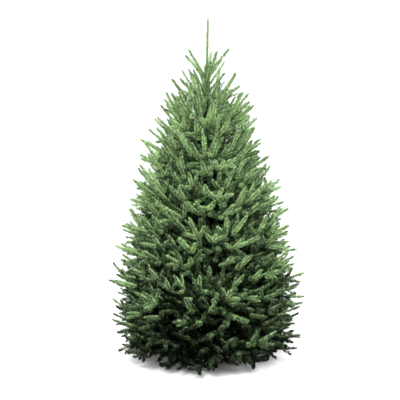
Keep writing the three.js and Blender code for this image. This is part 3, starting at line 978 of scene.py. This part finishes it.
def paint_material(settings):
    if "painted_steel" in bpy.data.materials:
        return bpy.data.materials["painted_steel"]
    pale = [min(1, c * 1.7 + 0.004) for c in settings.paint]
    return grained_material("painted_steel", settings.paint, pale, 26, 1.0, (0.32, 0.5), 0.00015, coat=0.25)


def zinc_material(settings):
    if "zinc_plate" in bpy.data.materials:
        return bpy.data.materials["zinc_plate"]
    dark = [c * 0.62 for c in settings.zinc]
    return grained_material("zinc_plate", dark, settings.zinc, 180, 1.0, (0.28, 0.5), 0.00008, metallic=1.0)


# ---------------------------------------------------------------- modelling by hand


def deselect():
    if bpy.context.object and bpy.context.object.mode != "OBJECT":
        bpy.ops.object.mode_set(mode="OBJECT")
    bpy.ops.object.select_all(action="DESELECT")


def edit():
    bpy.ops.object.mode_set(mode="EDIT")
    bpy.ops.mesh.select_mode(type="FACE")
    bpy.ops.mesh.select_all(action="DESELECT")


def pick_faces(test):
    """Selects the active piece's faces by their middle and normal, from edit mode."""
    bpy.ops.object.mode_set(mode="OBJECT")
    mesh = bpy.context.object.data
    for v in mesh.vertices:
        v.select = False
    for e in mesh.edges:
        e.select = False
    for f in mesh.polygons:
        f.select = test(f.center, f.normal)
    bpy.ops.object.mode_set(mode="EDIT")
    bpy.ops.mesh.select_mode(type="FACE")


def applied(piece, kind, name, **values):
    modifier = piece.modifiers.new(name, kind)
    for key, value in values.items():
        setattr(modifier, key, value)
    bpy.context.view_layer.objects.active = piece
    bpy.ops.object.modifier_apply(modifier=modifier.name)


def bevelled(piece, width, segments, angle):
    """Rounds the edges that turn by more than an angle, in degrees."""
    values = {"width": width, "segments": segments, "limit_method": "ANGLE", "angle_limit": rad(angle)}
    applied(piece, "BEVEL", "edges", **values)


def placed():
    """The new piece, with its place in its mesh."""
    bpy.ops.object.transform_apply(location=True, rotation=True, scale=True)
    return bpy.context.object


def settled(piece, name, material, slot, *replaced):
    """The finished piece: its place in its mesh and its material, with the parts it replaces hidden."""
    deselect()
    piece.select_set(True)
    bpy.context.view_layer.objects.active = piece
    placed()
    piece.name = name
    piece.data.name = name
    piece.data.materials.clear()
    piece.data.materials.append(material)
    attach(piece, "root")
    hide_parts(*replaced)


def joined(pieces):
    deselect()
    for piece in pieces:
        piece.select_set(True)
    bpy.context.view_layer.objects.active = pieces[0]
    if len(pieces) > 1:
        bpy.ops.object.join()
    return bpy.context.object


def extruded_limb(points, radii, sides):
    """A limb drawn out ring by ring from a flat disc, as by hand."""
    deselect()
    way = (points[1] - points[0]).normalized()
    turn = way.to_track_quat("Z", "Y")
    bpy.ops.mesh.primitive_circle_add(
        vertices=sides, radius=radii[0], fill_type="NGON", location=points[0], rotation=turn.to_euler()
    )
    piece = placed()
    edit()
    bpy.ops.mesh.select_all(action="SELECT")
    for n in range(1, len(points)):
        step = points[n] - points[n - 1]
        bpy.ops.mesh.extrude_region_move(TRANSFORM_OT_translate={"value": step})
        after = points[min(len(points) - 1, n + 1)]
        bend = way.rotation_difference((after - points[n - 1]).normalized())
        axis, angle = bend.to_axis_angle()
        if angle > 1e-4:
            way = (after - points[n - 1]).normalized()
            turn_selected(piece, points[n], Matrix.Rotation(angle, 3, axis))
        scale = radii[n] / radii[n - 1]
        bpy.ops.transform.resize(value=(scale, scale, scale), center_override=points[n])
    bpy.ops.mesh.select_all(action="SELECT")
    bpy.ops.mesh.normals_make_consistent(inside=False)
    bpy.ops.object.mode_set(mode="OBJECT")
    return piece


def turn_selected(piece, centre, matrix):
    """Turns the selected ring about its own centre."""
    bpy.ops.object.mode_set(mode="OBJECT")
    for v in piece.data.vertices:
        if v.select:
            v.co = centre + matrix @ (v.co - centre)
    bpy.ops.object.mode_set(mode="EDIT")


def bark_relief(piece, height, levels, size):
    """Finer faces, then ridges and blisters pushed out of the bark."""
    applied(piece, "SUBSURF", "finer", levels=levels, render_levels=levels, subdivision_type="CATMULL_CLARK")
    for name, kind, noise_scale, strength, middle in (
        ("ridges", "CLOUDS", size, height * 1.6, 0.62),
        ("blisters", "VORONOI", size * 0.55, -height * 0.8, 0.35),
    ):
        texture = bpy.data.textures.get(f"bark_{name}") or bpy.data.textures.new(f"bark_{name}", kind)
        texture.noise_scale = noise_scale
        if kind == "CLOUDS":
            texture.noise_depth = 4
        values = {"texture": texture, "strength": strength, "mid_level": middle, "texture_coords": "LOCAL"}
        applied(piece, "DISPLACE", name, **values)
    bpy.ops.object.shade_smooth_by_angle(angle=rad(60))


# ---------------------------------------------------------------- grown pieces


def finish_grown(piece, nodes):
    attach(piece, "root")
    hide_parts(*nodes)


def wood_piece(name, nodes, tubes, material):
    points, triangles = tube_arrays(tubes)
    piece = mesh_from_arrays(name, points, triangles)
    piece.data.materials.append(material)
    finish_grown(piece, nodes)


def needle_pieces(k, nodes, shoots, materials, settings, rng):
    """The needles of a whorl, cut into pieces that stay under the limit."""
    corners, row, lit = needle_arrays(shoots, settings, rng)
    shades = deal_shades(shoots, rng)[row] + lit
    # painted light: the half of a needle towards its tip is the lighter one, the half at its foot the darker,
    # for a rim-lit look
    lit_halves = np.interp(corners[:, 0, 2], *LIT_HALVES)
    shades = np.stack((shades - lit_halves, shades + 0.6 * lit_halves), axis=1)
    shades = np.clip(np.round(shades), 0, len(SHADES) - 1)
    parts = math.ceil(2 * len(row) / PIECE_LIMIT)
    cut = math.ceil(len(row) / parts)
    for n in range(parts):
        some = slice(n * cut, min(len(row), (n + 1) * cut))
        points, faces = corners[some].reshape(-1, 3), needle_faces(some.stop - some.start)
        piece = mesh_from_arrays(f"needles_{k + 1}_{n + 1}", points, faces, shades[some].ravel())
        for material in materials:
            piece.data.materials.append(material)
        finish_grown(piece, nodes)


def stem_needles(name, node, line, radii, scale, pitch, settings, seed):
    """Short needles along a young upright stem."""
    last = len(line) - 2
    shoots = []
    for n in range(last + 1):
        age = 0 if n == last else 0.5
        shoots.append((7, line[n], line[n + 1], radii[n + 1], age, 1.0, pitch))
    corners, row, _ = needle_arrays(shoots, settings, np.random.default_rng(seed), scale)
    piece = mesh_from_arrays(name, corners.reshape(-1, 3), needle_faces(len(row)))
    piece.data.materials.append(bpy.data.materials["needles_bright"])
    finish_grown(piece, [node])


# ---------------------------------------------------------------- operators


class TREE_OT_trunk(bpy.types.Operator):
    """Draws out the trunk with its taper, flare and the relief of its bark"""

    bl_idname = "conifer.trunk"
    bl_label = "Trunk"

    def execute(self, context):
        settings = context.scene.conifer_bark
        foot = POT["floor"] + GAP
        rings = 90
        heights = [foot + 0.0004] + [lerp(foot, TREE["leader_foot"], n / rings) for n in range(1, rings + 1)]
        points = [trunk_centre(z) for z in heights]
        radii = [trunk_radius(z) - 0.0006 for z in heights]
        piece = extruded_limb(points, radii, 20)
        edit()
        pick_faces(lambda middle, normal: abs(normal.z) > 0.9)
        bpy.ops.mesh.inset(thickness=0.0012)
        bpy.ops.object.mode_set(mode="OBJECT")
        bark_relief(piece, settings.relief, 2, 0.016)
        settled(piece, "trunk_bark", bark_material(settings, "ridged_bark", 55, 0.45), "bark", "trunk")
        return {"FINISHED"}


class TREE_OT_boughs(bpy.types.Operator):
    """Draws out the bare boughs of the lower whorls"""

    bl_idname = "conifer.boughs"
    bl_label = "Boughs"

    def execute(self, context):
        settings = context.scene.conifer_bark
        pieces, names = [], []
        for k in range(WHORL["with_boughs"]):
            for i in range(WHORL["masses"][k]):
                reach = limb_reach(k) * lerp(0.96, 1.04, seeded(SEED + 100 * k + i)())
                # the finer faces round the ends off, so they reach into the trunk and over the stem's foot
                inner = (trunk_radius(whorl_height(k)) - 0.016) / reach
                outer = BOUGH["share"] + 0.010 / reach
                points, radii = [], []
                for n in range(9):
                    t = n / 8
                    points.append(limb_point(k, i, reach, lerp(inner, outer, t)))
                    radii.append(lerp(BOUGH["root"], BOUGH["tip"], t) + 0.004 * math.exp(-7 * t) - 0.0003)
                pieces.append(extruded_limb(points, radii, 10))
                names.append(f"bough_{k + 1}_{i + 1}")
        piece = joined(pieces)
        bark_relief(piece, settings.relief * 0.5, 2, 0.009)
        settled(piece, "boughs_bark", bark_material(settings, "bough_bark", 85, 1.0), "bark", *names)
        return {"FINISHED"}


class TREE_OT_foliage(bpy.types.Operator):
    """Grows stems, twigs and needles on from the limbs, whorl by whorl"""

    bl_idname = "conifer.foliage"
    bl_label = "Foliage"

    def execute(self, context):
        settings = context.scene.conifer_crown
        growth = Growth(settings)
        growth.crown()
        materials = needle_materials(settings)
        dark = [0.45 * c for c in settings.twig]
        twig_bark = grained_material("twig_bark", dark, settings.twig, 160, 0.6, (0.65, 0.9), 0.0003)
        rng = np.random.default_rng(SEED)
        for k in range(WHORL["count"]):
            nodes = [f"foliage_{k + 1}_{i + 1}" for i in range(WHORL["masses"][k])]
            shoots = [s for s in growth.shoots if s[0] == k]
            tubes = [(line, radii, 5) for w, line, radii in growth.wood if w == k]
            tubes += [((s[1], s[2]), (s[3], s[3] * 0.7), 3) for s in shoots]
            wood_piece(f"twigs_{k + 1}", nodes, tubes, twig_bark)
            needle_pieces(k, nodes, shoots, materials, settings, rng)
        return {"FINISHED"}


class TREE_OT_leader(bpy.types.Operator):
    """Grows the top year's bare shoot with its short needles"""

    bl_idname = "conifer.leader"
    bl_label = "Leader"

    def execute(self, context):
        settings = context.scene.conifer_crown
        foot, top = TREE["leader_foot"] + GAP, TREE["tip"] - 0.018
        steps = 12
        line = [trunk_centre(lerp(foot, top, n / steps)) for n in range(steps + 1)]
        radii = [lerp(0.0042, 0.0018, n / steps) for n in range(steps + 1)]
        wood_piece("leader_stem", ["leader"], [(line, radii, 8)], bpy.data.materials["twig_bark"])
        stem_needles("leader_needles", "leader", line, radii, 0.48, 0.40, settings, SEED + 1)
        below = [trunk_centre(lerp(1.30, foot, n / 20)) for n in range(21)]
        bark = [trunk_radius(p.z) for p in below]
        stem_needles("trunk_needles", "trunk", below, bark, 1.0, 0.22, settings, SEED + 2)
        return {"FINISHED"}


class TREE_OT_pot(bpy.types.Operator):
    """Shapes the stand's pot with its rolled rim and screw bosses"""

    bl_idname = "conifer.pot"
    bl_label = "Stand pot"

    def execute(self, context):
        settings = context.scene.conifer_stand
        deselect()
        radius, height = POT["radius"], POT["height"]
        bpy.ops.mesh.primitive_cylinder_add(
            vertices=64, radius=radius, depth=height, location=(0, 0, height / 2)
        )
        bowl = placed()
        edit()
        pick_faces(lambda middle, normal: normal.z > 0.9)
        bpy.ops.mesh.inset(thickness=POT["wall"])
        bpy.ops.mesh.extrude_region_move(TRANSFORM_OT_translate={"value": (0, 0, POT["floor"] - height)})
        bpy.ops.object.mode_set(mode="OBJECT")
        bevelled(bowl, 0.0012, 2, 50)
        bpy.ops.mesh.primitive_torus_add(
            major_segments=64, minor_segments=12, major_radius=radius + RIM["out"],
            minor_radius=RIM["radius"], location=(0, 0, height - RIM["drop"]),
        )
        pieces = [bowl, bpy.context.object]
        pieces += [self.boss(azimuth) for azimuth in SCREW_AZIMUTHS]
        piece = joined(pieces)
        bpy.ops.object.shade_smooth_by_angle(angle=rad(40))
        settled(piece, "pot_painted", paint_material(settings), "steel", "stand_pot")
        return {"FINISHED"}

    def boss(self, azimuth):
        """The round boss in which a clamp screw turns, hollowed round the screw."""
        deselect()
        place = polar(POT["radius"] + BOSS["depth"] / 2 - 0.0005, rad(azimuth), SCREW["height"])
        bpy.ops.mesh.primitive_cylinder_add(
            vertices=24, radius=BOSS["radius"], depth=BOSS["depth"] + 0.001,
            location=place, rotation=(0, rad(90), rad(azimuth)),
        )
        boss = placed()
        edit()
        outward = polar(1, rad(azimuth), 0)
        pick_faces(lambda middle, normal: normal.dot(outward) > 0.9)
        bpy.ops.mesh.inset(thickness=BOSS["radius"] - SCREW["radius"] - 0.0006)
        bpy.ops.mesh.extrude_region_move(TRANSFORM_OT_translate={"value": outward * -0.004})
        bpy.ops.object.mode_set(mode="OBJECT")
        bevelled(boss, 0.0009, 2, 50)
        return boss


class TREE_OT_legs(bpy.types.Operator):
    """Bends the four flat legs and bolts them to the pot"""

    bl_idname = "conifer.legs"
    bl_label = "Stand legs"

    def execute(self, context):
        settings = context.scene.conifer_stand
        inside = POT["radius"] + GAP
        t, top = LEG["thick"], LEG["top"]
        outline = (
            (inside, top - LEG["flange"]),
            (inside + t, top - LEG["flange"]),
            (inside + t, top - t),
            (inside + LEG["bend"], top - t),
            (LEG["reach"] - LEG["foot"] - 0.004, 0),
            (LEG["reach"], 0),
            (LEG["reach"], t),
            (LEG["reach"] - LEG["foot"], t),
            (inside + LEG["bend"] + 0.004, top),
            (inside, top),
        )
        for n, azimuth in enumerate(LEG_AZIMUTHS):
            deselect()
            bpy.ops.mesh.primitive_circle_add(vertices=len(outline), radius=0.1, fill_type="NGON")
            leg = bpy.context.object
            for v, (x, z) in zip(leg.data.vertices, outline):
                v.co = (x, -LEG["width"] / 2, z)
            bpy.ops.object.mode_set(mode="EDIT")
            bpy.ops.mesh.select_all(action="SELECT")
            bpy.ops.mesh.extrude_region_move(TRANSFORM_OT_translate={"value": (0, LEG["width"], 0)})
            bpy.ops.mesh.select_all(action="SELECT")
            bpy.ops.mesh.normals_make_consistent(inside=False)
            bpy.ops.object.mode_set(mode="OBJECT")
            bevelled(leg, settings.bevel, 3, 25)
            parts = [leg]
            for y in (-BOLT["aside"], BOLT["aside"]):
                deselect()
                bpy.ops.mesh.primitive_cylinder_add(
                    vertices=6, radius=BOLT["radius"], depth=BOLT["height"],
                    location=(inside + t + 0.0016, y, top - LEG["flange"] * BOLT["drop"]),
                    rotation=(0, rad(90), 0),
                )
                head = placed()
                bevelled(head, 0.0005, 2, 40)
                parts.append(head)
            leg = joined(parts)
            leg.rotation_euler = (0, 0, rad(azimuth))
            bpy.ops.object.shade_smooth_by_angle(angle=rad(35))
            settled(leg, f"leg_painted_{n + 1}", paint_material(settings), "steel", f"stand_leg_{n + 1}")
        return {"FINISHED"}


class TREE_OT_screws(bpy.types.Operator):
    """Turns the four plated clamp screws with their cross handles"""

    bl_idname = "conifer.screws"
    bl_label = "Clamp screws"

    def execute(self, context):
        settings = context.scene.conifer_stand
        start = trunk_radius(SCREW["height"]) + GAP + 0.0003
        end = POT["radius"] + SCREW["outside"]
        for n, azimuth in enumerate(SCREW_AZIMUTHS):
            threads = int((end - THREAD["from_handle"] - start) / THREAD["pitch"])
            turns = range(2 * threads)
            xs = [start] + [start + 0.0006 + THREAD["pitch"] / 2 * m for m in turns] + [end - 0.001, end]
            radii = [SCREW["radius"] * 0.6]
            radii += [SCREW["radius"] * THREAD["crest" if m % 2 else "root"] for m in turns]
            radii += [SCREW["radius"] * THREAD["crest"], SCREW["radius"] * 0.8]
            shank = extruded_limb([Vector((x, 0, SCREW["height"])) for x in xs], radii, 16)
            deselect()
            bpy.ops.mesh.primitive_cylinder_add(
                vertices=18, radius=SCREW["handle_radius"] * 0.96, depth=SCREW["handle"],
                location=(end - 0.007, 0, SCREW["height"]), rotation=(rad(90), 0, 0),
            )
            handle = placed()
            bevelled(handle, 0.0014, 3, 50)
            screw = joined([shank, handle])
            screw.rotation_euler = (0, 0, rad(azimuth))
            bpy.ops.object.shade_smooth_by_angle(angle=rad(35))
            settled(screw, f"screw_plated_{n + 1}", zinc_material(settings), "zinc", f"stand_screw_{n + 1}")
        return {"FINISHED"}


# place of each soft light and its share of the key light's power
LIGHTS = (
    ("key", (-1.6, -3.2, 4.4), 1.0),
    ("fill", (3.0, -2.2, 3.6), 0.66),
    ("back", (0.6, 3.4, 4.4), 0.25),
)
LIGHT_SIZE = 2.2
EYE = {"aside": -0.043, "tilt": 5.92}


class TREE_OT_stage(bpy.types.Operator):
    """Sets the pale floor, the soft lights and the camera"""

    bl_idname = "conifer.stage"
    bl_label = "Stage"

    def execute(self, context):
        settings = context.scene.conifer_stage
        scene = context.scene
        scene.view_settings.view_transform = "Standard"
        deselect()
        bpy.ops.mesh.primitive_plane_add(size=60, location=(0, 0, 0))
        floor = bpy.context.object
        floor.name = "floor"
        floor.data.materials.append(plain_material("pale_floor", (0.93, 0.93, 0.92), 0.9, 0.1))
        world = scene.world or bpy.data.worlds.new("studio")
        scene.world = world
        world.use_nodes = True
        sky = world.node_tree.nodes["Background"]
        sky.inputs["Color"].default_value = (1, 1, 1, 1)
        sky.inputs["Strength"].default_value = settings.sky
        for name, place, share_of_key in LIGHTS:
            light = bpy.data.lights.new(name, "AREA")
            light.size = LIGHT_SIZE
            light.energy = settings.key * share_of_key
            lamp = bpy.data.objects.new(name, light)
            lamp.location = place
            lamp.rotation_euler = (Vector((0, 0, 1.0)) - Vector(place)).to_track_quat("-Z", "Y").to_euler()
            scene.collection.objects.link(lamp)
        camera = bpy.data.cameras.new("camera")
        camera.lens = settings.lens
        camera.sensor_width = 36
        eye = bpy.data.objects.new("camera", camera)
        eye.location = (EYE["aside"], -settings.distance, settings.height)
        eye.rotation_euler = (rad(90 - EYE["tilt"]), 0, 0)
        scene.collection.objects.link(eye)
        scene.camera = eye
        return {"FINISHED"}


class TREE_PT_panel(bpy.types.Panel):
    """Settings and steps of the conifer"""

    bl_idname = "TREE_PT_panel"
    bl_label = "Conifer"
    bl_space_type = "VIEW_3D"
    bl_region_type = "UI"
    bl_category = "Conifer"

    def draw(self, context):
        for label in ("crown", "bark", "stand", "stage"):
            box = self.layout.box()
            group = getattr(context.scene, f"conifer_{label}")
            box.label(text=label.capitalize())
            for name in group.__annotations__:
                box.prop(group, name)
        for operator in operators:
            self.layout.operator(operator.bl_idname)


groups = (CrownSettings, BarkSettings, StandSettings, StageSettings)
operators = (
    TREE_OT_stage,
    TREE_OT_trunk,
    TREE_OT_boughs,
    TREE_OT_foliage,
    TREE_OT_leader,
    TREE_OT_pot,
    TREE_OT_legs,
    TREE_OT_screws,
)


def register():
    for group in (*groups, *operators, TREE_PT_panel):
        bpy.utils.register_class(group)
    bpy.types.Scene.conifer_crown = PointerProperty(type=CrownSettings)
    bpy.types.Scene.conifer_bark = PointerProperty(type=BarkSettings)
    bpy.types.Scene.conifer_stand = PointerProperty(type=StandSettings)
    bpy.types.Scene.conifer_stage = PointerProperty(type=StageSettings)


def unregister():
    for label in ("crown", "bark", "stand", "stage"):
        delattr(bpy.types.Scene, f"conifer_{label}")
    for group in reversed((*groups, *operators, TREE_PT_panel)):
        bpy.utils.unregister_class(group)


def main():
    register()
    for operator in operators:
        family, name = operator.bl_idname.split(".")
        getattr(getattr(bpy.ops, family), name)()


if __name__ == "__main__":
    main()
